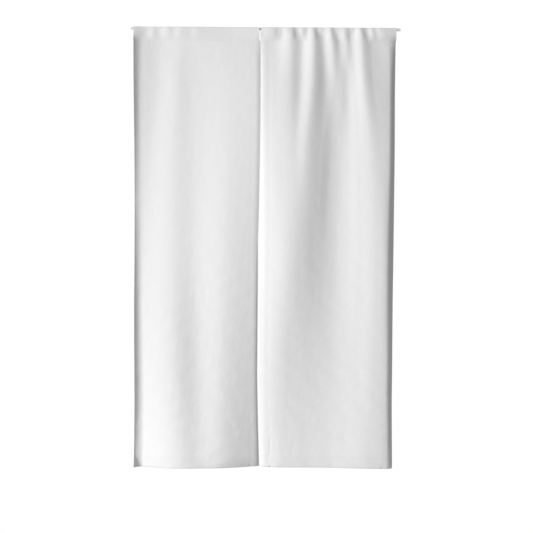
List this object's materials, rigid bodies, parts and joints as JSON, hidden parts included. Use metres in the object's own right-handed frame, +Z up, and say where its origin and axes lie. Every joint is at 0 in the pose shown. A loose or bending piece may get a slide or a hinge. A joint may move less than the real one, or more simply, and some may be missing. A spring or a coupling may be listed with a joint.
{
  "type": "noren curtain on a tension rod",
  "caption": "Doorway curtain of two white cloth panels, sewn together at the top and open below, on a thin white tension rod.",
  "frame": {"origin": "centre of the left end cap's outer face, on the rod's axis", "axes": "+X along the rod to the right, +Z up, the curtain's face looks towards -Y"},
  "size_m": [0.872, 0.0468, 1.4275],
  "materials": {
    "cloth": "matte plain weave",
    "rod_paint": "satin",
    "cap_plastic": "matte"
  },
  "bodies": {
    "root": {"left_panel": "cloth", "right_panel": "cloth", "rod_outer_tube": "rod_paint", "rod_inner_tube": "rod_paint", "rod_end_cap_left": "cap_plastic", "rod_end_cap_right": "cap_plastic"}
  },
  "joints": []
}
